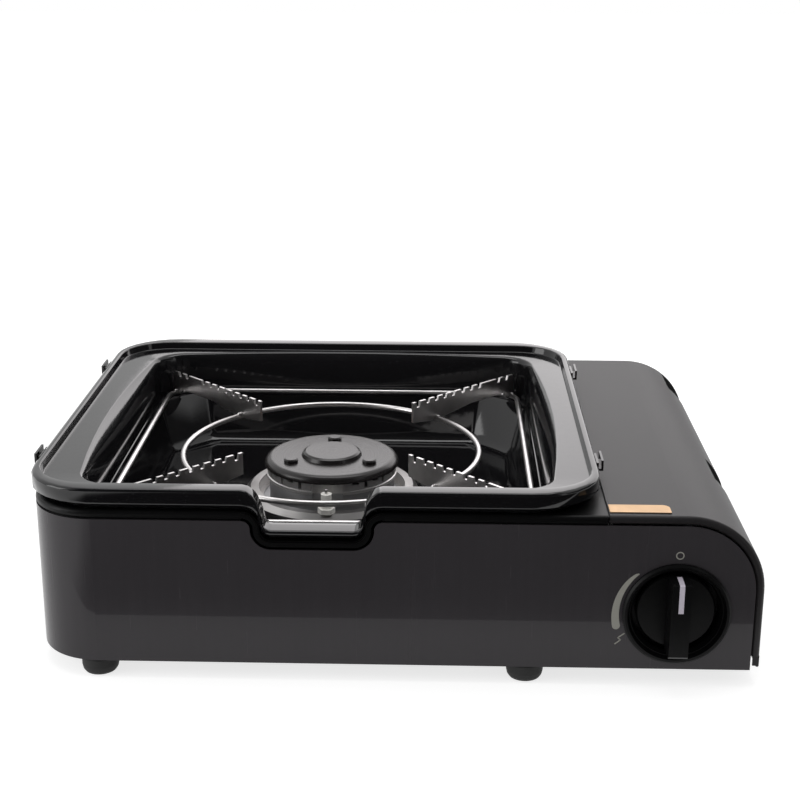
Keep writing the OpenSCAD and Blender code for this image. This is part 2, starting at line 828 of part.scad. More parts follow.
module piezo_unit() {
    color([0.15, 0.15, 0.15]) translate([block_left - piezo_w, block_y0 + 2, piezo_z0])
        cube([piezo_w, block_l - 4, 13]);
}

module cartridge_saddle() {
    half = 15;
    rest_r = cartridge_d / 2 + 0.5;
    y0 = boss_end + 36;
    y1 = back - 27;
    color("silver") {
        translate([knob_x - half, y0, floor_top]) cube([2 * half, y1 - y0, sheet]);
        for (y = [y0 + 20, y1 - 24]) {
            difference() {
                translate([knob_x - half, y, floor_top]) cube([2 * half, 3, 12]);
                rod_y(y - 1, y + 4, knob_x, cartridge_z, rest_r);
            }
        }
    }
}

// Ring on the panel with a cup behind it, in which the knob's disc lies
module knob_bezel() {
    way_r = spindle_r + loose;
    floor_in = front - cup_floor;
    color([0.06, 0.06, 0.06]) turned_front(knob_x, knob_z)
        polygon([[way_r, floor_in - sheet], [cup_r + sheet, floor_in - sheet], [cup_r + sheet, 0],
                 [bezel_r, 0],
                 [bezel_r, bezel_proud - 1.1], [bezel_r - 1.1, bezel_proud], [bezel_r - 2.4, bezel_proud],
                 [cup_r, -3], [cup_r, floor_in], [way_r, floor_in]]);
}

module hinge_pin() {
    color("silver") rod_y(hinge_y0 - 1, hinge_y1 + 1, hinge_x, hinge_z, pin_r);
}

// Section across the lid: along the depth and outward, with rolled edges at both ends
module lid_section() {
    half = body_d / 2 - lid_setback;
    difference() {
        rolled_bar(half, 0, roll_h, roll_r);
        translate([0, -roll_h]) square([2 * (half - sheet), 2 * (roll_h - roll_r)], center = true);
        rolled_bar(half - sheet, -sheet, roll_h - sheet, roll_r - sheet);
    }
}

// Sector of the shoulder between two radii and two angles, along the depth
module shoulder_sector(r0, r1, a0, a1, y0, y1) {
    translate([shoulder_x, y1, shoulder_z]) rotate([90, 0, 0]) rotate([0, 0, a0])
        rotate_extrude(angle = a1 - a0) translate([r0, 0]) square([r1 - r0, y1 - y0]);
}

module cartridge_lid() {
    grip_l = 34;
    grip_depth = 3;
    grips = [[front + 88, 47], [back - lid_setback - roll_h - grip_l, 52]];
    end_y = body_d / 2 - lid_setback - sheet;
    color([0.3, 0.3, 0.31]) {
        difference() {
            union() {
                along_x(lid_left, shoulder_x) translate([0, deck_z]) lid_section();
                translate([shoulder_x, 0, shoulder_z]) rotate([90, 0, 0]) rotate_extrude(angle = 90)
                    translate([shoulder_r, 0]) mirror([1, -1]) lid_section();
                upright(lid_foot_z, shoulder_z) translate([right, 0]) mirror([1, -1]) lid_section();
            }
            for (g = grips) {
                shoulder_sector(shoulder_r - 2 * sheet, shoulder_r + 1, 4, g[1], g[0], g[0] + grip_l);
            }
        }
        // Pressed grip recesses behind the openings
        for (g = grips) {
            difference() {
                shoulder_sector(shoulder_r - grip_depth - sheet, shoulder_r - sheet / 2, 2, g[1] + 2,
                                g[0] - sheet, g[0] + grip_l + sheet);
                shoulder_sector(shoulder_r - grip_depth, shoulder_r + 1, 4, g[1], g[0], g[0] + grip_l);
            }
        }
        hinge_knuckles(1, lid_foot_z + overlap);
        lid_end(-end_y, hinge_y0 - 1);
        mirror([0, 1, 0]) lid_end(-end_y, -hinge_y1 - 1);
    }
}

// Lower end of the lid's side beside the hinge, with a bevelled corner and a return at its end
module lid_end(y0, y1) {
    low = base_z + 0.4;
    bevel = 1.2;
    translate([right - roll_h, y0, low + bevel])
        cube([roll_h - sheet + overlap, sheet, lid_foot_z + 3 - low - bevel]);
    along_x(right - sheet, right)
        polygon([[y0, low + bevel], [y0 + bevel, low], [y1, low], [y1, lid_foot_z + overlap],
                 [y0, lid_foot_z + overlap]]);
}

module lid_plate() {
    w = 32;
    d = 10.6;
    end_r = 4;
    plate_x = lid_left + 0.4;
    plate_y = front + 6;
    color([0.95, 0.78, 0.55]) upright(deck_z, deck_z + 0.5) {
        translate([plate_x, plate_y]) square([w, d - end_r]);
        translate([plate_x, plate_y]) square([w - end_r, d]);
        translate([plate_x + w - end_r, plate_y + d - end_r]) circle(end_r);
    }
}

// Points between two values, without the last one
function steps(a, b, n) = [for (i = [0 : n - 1]) a + (b - a) * i / n];

// Points along a side, round a corner and on each of a flank's two bends
side_n = 8;
corner_n = 7;
flank_n = 5;

// The tray's dip runs at an even distance inside the notch of the deck
dip_d = panel_inset + tray_gap;
dip_half = notch_half - dip_d;
dip_foot_r = notch_foot_r - dip_d;
dip_top_r = notch_top_r + dip_d;
dip_start = dip_half + dip_top_r;
dip_end = dip_half - dip_foot_r;

// One closed ring of the tray's surface, from its front-left end of the front side, counter-clockwise.
// ring: [half width, half depth, corner radius, bow, corner flatness, height, height in the dip,
//        sag at mid side, further reach on the left]
function ring_points(g) =
    let (hx = g[0], hy = g[1], r = g[2], bow = g[3], lx = hx + g[8])
    concat(
        [for (x = front_places(lx - r, hx - r))
            ring_point(x, -hy - bow * arch(x, hx - r), g, arch(x, hx - r), dip_weight(x))],
        corner_points(hx - r, -hy + r, -90, g),
        [for (y = steps(-hy + r, hy - r, side_n))
            ring_point(hx + bow * arch(y, hy - r), y, g, arch(y, hy - r), 0)],
        corner_points(hx - r, hy - r, 0, g),
        [for (x = steps(hx - r, -lx + r, side_n))
            ring_point(x, hy + bow * arch(x, hx - r), g, arch(x, hx - r), 0)],
        corner_points(-lx + r, hy - r, 90, g),
        [for (y = steps(hy - r, -hy + r, side_n))
            ring_point(-lx - bow * arch(y, hy - r), y, g, arch(y, hy - r), 0)],
        corner_points(-lx + r, -hy + r, 180, g));

// Places on one flank of the dip, from its foot to its top
flank = concat([for (a = steps(0, 90, flank_n)) dip_end + dip_foot_r * sin(a)],
               [for (a = steps(0, 90, flank_n)) dip_start - dip_top_r * cos(a)]);

// Places along the front side: even to the dip, close on its flanks
function front_places(to_left, to_right) =
    concat(steps(-to_left, -dip_start, 3), [-dip_start],
           [for (k = [len(flank) - 1 : -1 : 0]) -flank[k]], steps(-dip_end, dip_end, 4), flank,
           steps(dip_start, to_right, 3));

// How far a place along a side is bowed, from 0 at its ends to 1 in its middle
function arch(s, half) = 1 - (s / half) * (s / half);

// Height of the notch's edge above its foot at a place along the front
function flank_rise(x) =
    x <= dip_end ? 0
    : x < dip_half ? dip_foot_r - leg_of(dip_foot_r, x - dip_end)
    : x < dip_start ? notch_drop - dip_top_r + leg_of(dip_top_r, dip_start - x)
    : notch_drop;

// Other leg of a right triangle
function leg_of(hyp, leg) = sqrt(max(hyp * hyp - leg * leg, 0));

// Share of the dip at a place along the front
function dip_weight(x) = 1 - flank_rise(abs(x)) / notch_drop;

function ring_point(x, y, g, mid, dip) = [x, y, g[5] + (g[6] - g[5]) * dip - g[7] * mid * (1 - dip)];

function corner_points(cx, cy, a0, g) =
    [for (k = [0 : corner_n - 1])
        let (t = k / corner_n, a = a0 + 90 * t, r = g[2],
             arc = [r * cos(a), r * sin(a)],
             chord = [r * cos(a0), r * sin(a0)] * (1 - t) + [r * cos(a0 + 90), r * sin(a0 + 90)] * t,
             p = arc * (1 - g[4]) + chord * g[4])
        [cx + p[0], cy + p[1], g[5]]];

// The same ring drawn out to a circle
function circle_ring(g, r, z) =
    [for (p = ring_points(g)) let (d = norm([p[0], p[1]])) [p[0] * r / d, p[1] * r / d, z]];

tray_hx = tray_w / 2;
tray_hy = tray_d / 2;
mouth_hx = mouth_w / 2;
mouth_hy = mouth_d / 2;
wall_hx = frame_half + wire_r + 4;
wall_hy = frame_half + wire_r + 2.6;
floor_hx = wall_hx - floor_side;
floor_hy = wall_hy - floor_front;
step_hx = tray_hx - rim_side;
step_hy = tray_hy - rim_front;
step_r = rim_r - (rim_side + rim_front) / 2;
corner_cut = 32;

// Rings of the upper face from the skirt's foot to the floor
tray_rings = [
    [tray_hx - 3.4, tray_hy - 3.4, rim_r, 0, 0, skirt_foot_z, dip_foot_z, 0, tray_left],
    [tray_hx - 2.2, tray_hy - 2.2, rim_r, 0, 0, rim_z - 9.4, dip_z - 2.6, 0, tray_left],
    [tray_hx, tray_hy, rim_r, 0, 0, rim_z - 7.8, dip_z - 2, 0, tray_left],
    [tray_hx, tray_hy, rim_r, 0, 0, rim_z - 1.6, dip_z - 1, 0, tray_left],
    [tray_hx - 0.5, tray_hy - 0.5, rim_r, 0, 0, rim_z - 0.5, dip_z - 0.35, 0, tray_left],
    [tray_hx - 1.6, tray_hy - 1.6, rim_r, 0, 0, rim_z, dip_z, 0, tray_left],
    [step_hx + 0.6, step_hy + 0.6, step_r + 0.6, 0, 0, rim_z, dip_z, 0, tray_left],
    [step_hx, step_hy, step_r, 0, 0, rim_z - 0.7, dip_z - 0.05, 0, tray_left],
    [step_hx - 0.6, step_hy - 0.6, step_r - 0.6, 0, 0, shelf_z + 0.6, dip_z - 0.1, 0, tray_left],
    [step_hx - 1.5, step_hy - 1.5, step_r - 1.5, 0, 0, shelf_z, dip_z - 0.15, 0, tray_left],
    [mouth_hx + 1, mouth_hy + 1, mouth_r + 1, mouth_bow, 0, shelf_z - 0.3, dip_z - 0.4, 0, 0],
    [mouth_hx, mouth_hy, mouth_r, mouth_bow, 0, shelf_z - 1.2, dip_z - 1.2, 0, 0],
    [mouth_hx - 2.2, mouth_hy - 2.2, mouth_r, 0.8, 0, shelf_z - 3, dip_z - 5, flare_h, 0],
    [wall_hx, wall_hy, mouth_r, 0.6, 0, ledge_z + 0.1, ledge_z + 0.1, 0, 0],
    [wall_hx - 1, wall_hy - 1, corner_cut, 0.4, 0.8, ledge_z, ledge_z, 0, 0],
    [floor_hx + 5, floor_hy + 5, corner_cut - 2, 0.4, 0.8, floor_z + 7, floor_z + 7, 0, 0],
    [floor_hx + 1.6, floor_hy + 1.6, corner_cut - 4, 0.3, 0.8, floor_z + 1.6, floor_z + 1.6, 0, 0],
    [floor_hx - 4, floor_hy - 4, corner_cut - 6, 0.2, 0.8, floor_z, floor_z, 0, 0]];
ring_count = len(tray_rings);

// Upper face, then the burner hole's lip
upper_rings = concat([for (g = tray_rings) ring_points(g)],
                     [circle_ring(tray_rings[ring_count - 1], hole_r + 4, floor_z),
                      circle_ring(tray_rings[ring_count - 1], hole_r + tray_t, floor_z + 1.2)]);

// Point of the lower face: the upper point moved square to the surface by the sheet's thickness
function lower_point(rings, j, i) =
    let (n = len(rings[0]),
         p = rings[j][i],
         across = rings[min(j + 1, len(rings) - 1)][i] - rings[max(j - 1, 0)][i],
         along = rings[j][(i + 1) % n] - rings[j][(i + n - 1) % n],
         square_out = cross(along, across))
    j == 0 ? p - [p[0], p[1], 0] * (tray_t / norm([p[0], p[1]]))
           : p - square_out * (tray_t / norm(square_out));

lower_rings = [for (j = [len(upper_rings) - 1 : -1 : 0])
                  [for (i = [0 : len(upper_rings[0]) - 1]) lower_point(upper_rings, j, i)]];

module tray() {
    rings = concat(upper_rings, lower_rings);
    m = len(rings);
    n = len(rings[0]);
    color([0.11, 0.11, 0.12]) translate([burner_x, 0, 0]) polyhedron(
        points = [for (ring = rings) each ring],
        faces = [for (j = [0 : m - 1], i = [0 : n - 1])
                    let (a = j * n + i, b = j * n + (i + 1) % n,
                         c = ((j + 1) % m) * n + (i + 1) % n, d = ((j + 1) % m) * n + i)
                    each [[a, c, b], [a, d, c]]]);
}

module tray_hooks() {
    plate_h = 4.6;
    plate_z = rim_z - 6.3;
    wall = 1.2;
    color([0.1, 0.1, 0.1]) for (sx = [-1, 1], sy = [-1, 1]) {
        translate([burner_x, sy * hook_y - hook_l / 2, 0]) mirror([sx < 0 ? 1 : 0, 0, 0])
            translate([tray_hx + (sx < 0 ? tray_left : 0), 0, 0])
            along_y(0, hook_l) {
                translate([0, plate_z]) square([wall, plate_h]);
                translate([0, plate_z]) square([hook_reach, wall]);
                translate([hook_reach - wall, plate_z]) square([wall, plate_h + 1.4]);
            }
    }
}

module support_ring() {
    color("silver") translate([burner_x, 0, wire_z])
        rotate_extrude($fn = 96) translate([ring_r, 0]) circle(wire_r);
}

module support_frame() {
    run = frame_half - frame_bend;
    color("silver") translate([burner_x, 0, wire_z]) for (a = [0 : 90 : 270]) {
        rotate([0, 0, a]) {
            rod_y(-run, run, frame_half, 0, wire_r);
            translate([run, run, 0]) rotate_extrude(angle = 90) translate([frame_bend, 0]) circle(wire_r);
        }
    }
}

// Where the frame's corner crosses the blade's line
corner_cross = (frame_half - frame_bend) * sqrt(2) + frame_bend;

// Groups of notches in a blade's top: distance of the first from the blade's inner end, and their number
tooth_groups = [[5.6 + tooth_pitch, 4], [46, 3], [80, 2]];

// One notch in a blade's top, at a distance from its inner end
module blade_notch(x, depth) {
    wide = 1.9;
    narrow = 1.2;
    translate([blade_in + x, blade_z])
        polygon([[-wide, 0], [-narrow, -depth], [narrow, -depth], [wide, 0], [wide, 1], [-wide, 1]]);
}

// Elevation of a blade along its own line: distance from the burner axis and height
module blade_elevation() {
    blade_out = corner_cross + wire_r + 1.5;
    web_z = wire_z + 3.4;
    foot_z = wire_z - 0.4;
    difference() {
        polygon([[blade_in, wire_z + 1.6], [ring_r - 6, foot_z], [ring_r + 5, foot_z], [ring_r + 32, web_z],
                 [corner_cross - 7, web_z], [corner_cross - 4.5, foot_z], [blade_out, foot_z],
                 [blade_out, blade_z - 2.5], [blade_out - 2, blade_z], [blade_in, blade_z]]);
        blade_notch(4.6, 1.4 * tooth_d);
        for (g = tooth_groups, k = [0 : g[1] - 1]) {
            blade_notch(g[0] + k * tooth_pitch, tooth_d);
        }
        for (x = [ring_r, corner_cross]) {
            translate([x, wire_z]) circle(wire_r + fit);
        }
    }
}

module support_blade(corner) {
    color("silver") translate([burner_x, 0, 0]) rotate([0, 0, 45 + 90 * corner])
        along_y(-blade_t / 2, blade_t / 2) blade_elevation();
}

module push_rod() {
    color("silver") rod_y(spindle_end + fit, drum_y0 - 2 - push_travel - 1, knob_x, knob_z, 1.5);
}

// Outline of the grip rib in Y and Z, with flat ends
function rib_outline() =
    [[disc_front + 1, -rib_low], [knob_front + 1.5, -rib_low], [knob_front, -rib_low + 1.5],
     [knob_front, rib_top - 0.6], [knob_front + 0.6, rib_top], [disc_front + 1, rib_top]];

// Band of the pointer line over the rib's front and its upper end
function pointer_outline() =
    let (deep = 0.5, low = 6, last = front - 2)
    [[knob_front, low], [knob_front, rib_top - 0.6], [knob_front + 0.6, rib_top], [last, rib_top],
     [last, rib_top - deep], [knob_front + 0.8, rib_top - deep], [knob_front + deep, rib_top - 0.8],
     [knob_front + deep, low]];

module knob() {
    color([0.07, 0.07, 0.07]) difference() {
        union() {
            turned_front(knob_x, knob_z)
                polygon([[0, front - knob_back], [knob_r - 0.6, front - knob_back],
                         [knob_r, front - knob_back + 0.6],
                         [knob_r, front - disc_front - 0.8], [knob_r - 0.8, front - disc_front],
                         [0, front - disc_front]]);
            along_x(knob_x - rib_w / 2, knob_x + rib_w / 2) translate([0, knob_z]) polygon(rib_outline());
        }
        rod_y(knob_back - 5, knob_back + 1, knob_x, knob_z, spindle_r + fit);
        along_x(knob_x - pointer_half, knob_x + pointer_half)
            translate([0, knob_z]) polygon(pointer_outline());
    }
}

module spindle() {
    color("silver") rod_y(knob_back - 5 + fit, spindle_end, knob_x, knob_z, spindle_r);
}

module knob_pointer() {
    color("white") along_x(knob_x - pointer_half, knob_x + pointer_half)
        translate([0, knob_z]) polygon(pointer_outline());
}

placed() base_pan();
placed() outer_panel();
placed() top_deck();
placed() bay_wall();
placed() rubber_feet();
placed() foot_screws();
placed() burner_bracket();
placed() burner_body();
placed() burner_skirt();
placed() flame_ring();
placed() burner_cap();
placed() cap_rivets();
placed() jet_bracket();
placed() jet_holder();
placed() gas_pipe();
placed() valve_body();
placed() valve_bracket();
placed() socket_plate();
placed() socket_magnets();
placed() flame_guard_unit();
placed() thermocouple();
placed() thermocouple_lead();
placed() electrode();
placed() electrode_pin();
placed() ignition_lead();
placed() piezo_unit();
placed() cartridge_saddle();
placed() knob_bezel();
placed() hinge_pin();
placed() cartridge_lid();
placed() lid_plate();
placed() tray();
placed() tray_hooks();
placed() support_ring();
placed() support_frame();
placed() support_blade(0);  // support_blade_1
placed() support_blade(1);  // support_blade_2
placed() support_blade(2);  // support_blade_3
placed() support_blade(3);  // support_blade_4
placed() push_rod();
placed() knob();
placed() spindle();
placed() knob_pointer();
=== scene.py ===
"""Looks of a portable single-burner gas stove: finishes, dial marks, welds, screws, studio and camera.

Metres, +X to the right, +Y to the back, +Z up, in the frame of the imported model.
"""

import json
import math

import bmesh
import bpy
from mathutils import Matrix, Vector


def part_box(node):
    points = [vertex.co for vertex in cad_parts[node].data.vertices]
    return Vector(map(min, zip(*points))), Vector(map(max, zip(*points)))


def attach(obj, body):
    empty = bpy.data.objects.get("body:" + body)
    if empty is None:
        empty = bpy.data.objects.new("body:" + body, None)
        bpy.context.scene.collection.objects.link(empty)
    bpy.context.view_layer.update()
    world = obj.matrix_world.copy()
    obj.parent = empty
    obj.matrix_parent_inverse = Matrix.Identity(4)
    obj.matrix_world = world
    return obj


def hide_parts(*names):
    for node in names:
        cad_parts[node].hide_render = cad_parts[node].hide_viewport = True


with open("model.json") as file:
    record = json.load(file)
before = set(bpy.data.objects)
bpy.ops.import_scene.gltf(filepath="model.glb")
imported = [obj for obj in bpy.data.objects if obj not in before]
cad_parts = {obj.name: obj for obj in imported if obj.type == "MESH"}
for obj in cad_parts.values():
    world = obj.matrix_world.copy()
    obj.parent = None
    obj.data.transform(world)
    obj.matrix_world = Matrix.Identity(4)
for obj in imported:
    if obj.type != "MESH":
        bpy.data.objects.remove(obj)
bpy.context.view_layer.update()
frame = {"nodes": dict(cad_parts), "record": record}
NODES = frame["nodes"]
MM = 0.001


def span(node):
    """Lowest corner, highest corner and middle of a CAD node."""
    low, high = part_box(node)
    return low, high, (low + high) / 2


# Places read from the model
BURNER = span("burner_cap")[2]
KNOB = span("knob_bezel")[2]
PANEL_FRONT = span("outer_panel")[0].y


# Finishes

# Socket numbers of a Mix node that mixes colours
MIX_SHARE, MIX_FIRST, MIX_SECOND, MIX_RESULT = 0, 6, 7, 2


class Value:
    """A socket in a finish's node tree. Arithmetic on it adds Math nodes."""

    def __init__(self, finish, socket):
        self.finish, self.socket = finish, socket

    def combined(self, operation, other):
        return self.finish.node("ShaderNodeMath", {"operation": operation}, {0: self, 1: other})

    def __add__(self, other):
        return self.combined("ADD", other)

    __radd__ = __add__

    def __mul__(self, other):
        return self.combined("MULTIPLY", other)

    def __pow__(self, other):
        return self.combined("POWER", other)

    def most(self, other):
        return self.combined("MAXIMUM", other)

    def step(self, low, high):
        """Smooth change from 0 to 1 between two edges."""
        return self.finish.node("ShaderNodeMapRange", {"interpolation_type": "SMOOTHSTEP"},
                                {"Value": self, "From Min": low, "From Max": high})


class Finish:
    """A material, or the world's light, under construction."""

    def __init__(self, name, tree=None):
        if tree is None:
            self.material = bpy.data.materials.new(name)
            self.material.use_nodes = True
            tree = self.material.node_tree
        self.tree = tree
        self.tree.nodes.clear()

    def node(self, kind, settings=None, sockets=None, out=0):
        """Adds a node: its settings first, then the values or links of its sockets."""
        made = self.tree.nodes.new(kind)
        for key, value in (settings or {}).items():
            setattr(made, key, value)
        for key, value in (sockets or {}).items():
            if isinstance(value, Value):
                self.tree.links.new(value.socket, made.inputs[key])
            else:
                made.inputs[key].default_value = value
        return Value(self, made.outputs[out]) if made.outputs else None

    def place(self, centre=(0, 0, 0), stretch=(1, 1, 1)):
        """Object coordinates about a centre, stretched."""
        coordinates = self.node("ShaderNodeTexCoord", out="Object")
        moved = self.node("ShaderNodeVectorMath", {"operation": "SUBTRACT"}, {0: coordinates, 1: centre})
        return self.node("ShaderNodeMapping", {"vector_type": "POINT"}, {"Vector": moved, "Scale": stretch})

    def noise(self, where, scale, detail=3.0, rough=0.5):
        return self.node("ShaderNodeTexNoise", {},
                         {"Vector": where, "Scale": scale, "Detail": detail, "Roughness": rough})

    def parts(self, where):
        """X, Y and Z of a place, each as a value."""
        split = self.tree.nodes.new("ShaderNodeSeparateXYZ")
        self.tree.links.new(where.socket, split.inputs[0])
        return [Value(self, socket) for socket in split.outputs]

    def blend(self, share, first, second):
        """Colour that changes from first to second with share."""
        return self.node("ShaderNodeMix", {"data_type": "RGBA"},
                         {MIX_SHARE: share, MIX_FIRST: (*first, 1.0), MIX_SECOND: (*second, 1.0)},
                         MIX_RESULT)

    def bump(self, height, strength, distance):
        return self.node("ShaderNodeBump", {},
                         {"Height": height, "Strength": strength, "Distance": distance})

    def dull(self, tone):
        """Matt grey shader."""
        return self.node("ShaderNodeBsdfDiffuse", {}, {"Color": (tone, tone, tone, 1)})

    def close(self, shader):
        """Ends the tree in a shader."""
        self.node("ShaderNodeOutputMaterial", {}, {"Surface": shader})
        return self.material

    def surface(self, **sockets):
        """Ends the tree in a Principled surface."""
        named = {key.replace("_", " "): value for key, value in sockets.items()}
        return self.close(self.node("ShaderNodeBsdfPrincipled", {}, named))


def shade(colour, factor):
    """The same colour, paler or darker."""
    return tuple(min(c * factor, 1.0) for c in colour)


def glossy_enamel():
    """Black vitreous enamel: deep gloss, a faint orange peel and a few pale specks."""
    f = Finish("glossy_enamel")
    where = f.place()
    peel = f.noise(where, scale=260, detail=2)
    cloud = f.noise(where, scale=22)
    speck = f.noise(where, scale=1500, detail=1).step(0.73, 0.78)
    colour = f.blend(speck * 0.5, (0.0055, 0.0053, 0.006), (0.07, 0.07, 0.075))
    return f.surface(Base_Color=colour, Roughness=0.05 + cloud * 0.08, IOR=1.48,
                     Normal=f.bump(peel, strength=0.05, distance=0.0004))


def powder_coat(name, colour, rough, grain=0.12, gloss=0.4):
    """Matt powder coat with a fine even grain."""
    f = Finish(name)
    where = f.place()
    fine = f.noise(where, scale=2600, detail=2)
    cloud = f.noise(where, scale=14, detail=4)
    return f.surface(Base_Color=f.blend(cloud, colour, shade(colour, 1.18)),
                     Roughness=rough + fine * 0.12, Specular_IOR_Level=gloss,
                     Normal=f.bump(fine, grain, distance=0.0003))


def gunmetal_lacquer():
    """Dark metallic lacquer under a clear coat, with a soft brushed drift along the panel."""
    f = Finish("gunmetal_lacquer")
    along = f.place(stretch=(1, 1, 0.04))
    streak = f.noise(along, scale=300)
    cloud = f.noise(f.place(), scale=9)
    colour = f.blend(cloud * 0.6 + streak * 0.4, (0.031, 0.0285, 0.0315), (0.042, 0.0385, 0.042))
    return f.surface(Base_Color=colour, Metallic=0.1, Roughness=0.22 + streak * 0.08,
                     Specular_IOR_Level=0.1, Coat_Weight=0.28, Coat_Roughness=0.04)


def plated_steel(name, colour, rough, spread=0.14, relief=0.06):
    """Bright plated or polished steel with fine draw marks."""
    f = Finish(name)
    where = f.place()
    mark = f.noise(where, scale=900, rough=0.6)
    cloud = f.noise(where, scale=60)
    return f.surface(Base_Color=f.blend(cloud.step(0.3, 0.75), shade(colour, 0.78), colour), Metallic=1.0,
                     Roughness=rough + mark * spread, Normal=f.bump(mark, relief, distance=0.0002))


def turned_steel(name, colour, rough, metallic, relief):
    """Metal with faint rings round the burner axis."""
    rings_per_metre = 4200
    f = Finish(name)
    x, y, _ = f.parts(f.place(centre=(BURNER.x, BURNER.y, 0)))
    radius = (x * x + y * y) ** 0.5
    ring = f.node("ShaderNodeTexNoise", {"noise_dimensions": "1D"},
                  {"W": radius * rings_per_metre, "Scale": 1.0, "Detail": 2.0})
    cloud = f.noise(f.place(), scale=45, detail=4)
    return f.surface(Base_Color=f.blend(cloud * 0.6 + ring * 0.4, colour, shade(colour, 1.3)),
                     Metallic=metallic, Roughness=rough + ring * 0.12,
                     Normal=f.bump(ring, relief, distance=0.0003))


def die_cast(name, colour, rough):
    """Grainy die-cast surface."""
    f = Finish(name)
    where = f.place()
    grain = f.noise(where, scale=1400, detail=4)
    cloud = f.noise(where, scale=35, detail=4)
    return f.surface(Base_Color=f.blend(cloud, colour, shade(colour, 1.25)), Metallic=0.9,
                     Roughness=rough + grain * 0.15, Normal=f.bump(grain, strength=0.2, distance=0.0003))


def zinc_plate():
    """Zinc plating with its pale patches."""
    f = Finish("zinc_plate")
    where = f.place()
    patch = f.node("ShaderNodeTexVoronoi", {"feature": "F1"}, {"Vector": where, "Scale": 140.0})
    cloud = f.noise(where, scale=90)
    colour = f.blend(patch * 0.5 + cloud * 0.5, (0.46, 0.47, 0.48), (0.66, 0.67, 0.68))
    return f.surface(Base_Color=colour, Metallic=1.0, Roughness=0.3 + cloud * 0.2)


def moulded(name, colour, rough, grain, gloss=0.4):
    """Moulded plastic or rubber with a fine spark grain."""
    f = Finish(name)
    where = f.place()
    fine = f.noise(where, scale=1900, detail=2)
    wear = f.noise(where, scale=40)
    return f.surface(Base_Color=f.blend(wear, colour, shade(colour, 1.5)), Roughness=rough + fine * 0.12,
                     Specular_IOR_Level=gloss, Normal=f.bump(fine, grain, distance=0.0002))


def turned_brass(name, colour):
    """Turned brass or drawn copper."""
    f = Finish(name)
    mark = f.noise(f.place(), scale=700, detail=2)
    return f.surface(Base_Color=f.blend(mark, colour, shade(colour, 1.2)), Metallic=1.0,
                     Roughness=0.22 + mark * 0.14)


def printed(name, colour):
    """Screen print, a little uneven in its colour."""
    f = Finish(name)
    fine = f.noise(f.place(), scale=1200, detail=2)
    return f.surface(Base_Color=f.blend(fine * 0.4, colour, shade(colour, 0.8)),
                     Roughness=0.5 + fine * 0.1)


FINISHES = {
    "body_steel": powder_coat("body_steel", (0.018, 0.018, 0.02), rough=0.45),
    "gunmetal": gunmetal_lacquer(),
    "deck_black": powder_coat("deck_black", (0.003, 0.003, 0.0032), rough=0.3, grain=0.05, gloss=0.14),
    "zinc": zinc_plate(),
    "rubber": moulded("rubber", (0.012, 0.012, 0.012), rough=0.6, grain=0.2),
    "casting": die_cast("casting", (0.4, 0.4, 0.41), rough=0.38),
    "bright_steel": turned_steel("bright_steel", (0.4, 0.39, 0.385), rough=0.24, metallic=1.0, relief=0.015),
    "flame_steel": die_cast("flame_steel", (0.62, 0.605, 0.6), rough=0.3),
    "cap_steel": turned_steel("cap_steel", (0.012, 0.0102, 0.0102), rough=0.2, metallic=0.25, relief=0.05),
    "brass": turned_brass("brass", (0.68, 0.5, 0.22)),
    "magnet": die_cast("magnet", (0.07, 0.07, 0.075), rough=0.5),
    "copper": turned_brass("copper", (0.66, 0.34, 0.2)),
    "ceramic": moulded("ceramic", (0.6, 0.59, 0.56), rough=0.2, grain=0.05),
    "lead_white": moulded("lead_white", (0.5, 0.5, 0.48), rough=0.5, grain=0.1),
    "black_plastic": moulded("black_plastic", (0.02, 0.02, 0.02), rough=0.5, grain=0.2),
    "knob_black": moulded("knob_black", (0.0022, 0.0022, 0.0024), rough=0.32, grain=0.12, gloss=0.14),
    "lid_grey": powder_coat("lid_grey", (0.0142, 0.0128, 0.0138), rough=0.38, grain=0.12, gloss=0.24),
    "gold": plated_steel("gold", (0.68, 0.46, 0.27), rough=0.42),
    "enamel": glossy_enamel(),
    "wire_steel": plated_steel("wire_steel", (0.74, 0.72, 0.715), rough=0.25, spread=0.1, relief=0.015),
    "pointer": printed("pointer", (0.52, 0.48, 0.55)),
}
FINISHES["enamel_hooks"] = FINISHES["enamel"]
DIAL_PRINT = printed("dial_print", (0.27, 0.265, 0.235))

for part in frame["record"]["subparts"]:
    shown = NODES[part["node"]]
    shown.data.materials.clear()
    shown.data.materials.append(FINISHES[part["material_slot"]])


# Pieces

def linked(name, data):
    """A new object in the scene."""
    made = bpy.data.objects.new(name, data)
    bpy.context.scene.collection.objects.link(made)
    return made


def piece(name, mesh, body, slot, finish=None):
    """Links a finished mesh as a piece that rides on a body."""
    made = linked(name, mesh)
    mesh.materials.clear()
    mesh.materials.append(finish or FINISHES[slot])
    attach(made, body)
    return made


def plain_mesh(carrier, name):
    """The mesh that a carrier's modifiers make. The carrier is removed."""
    evaluated = carrier.evaluated_get(bpy.context.evaluated_depsgraph_get())
    mesh = bpy.data.meshes.new_from_object(evaluated)
    mesh.name = name
    carrier.modifiers.clear()
    bpy.data.objects.remove(carrier)
    return mesh


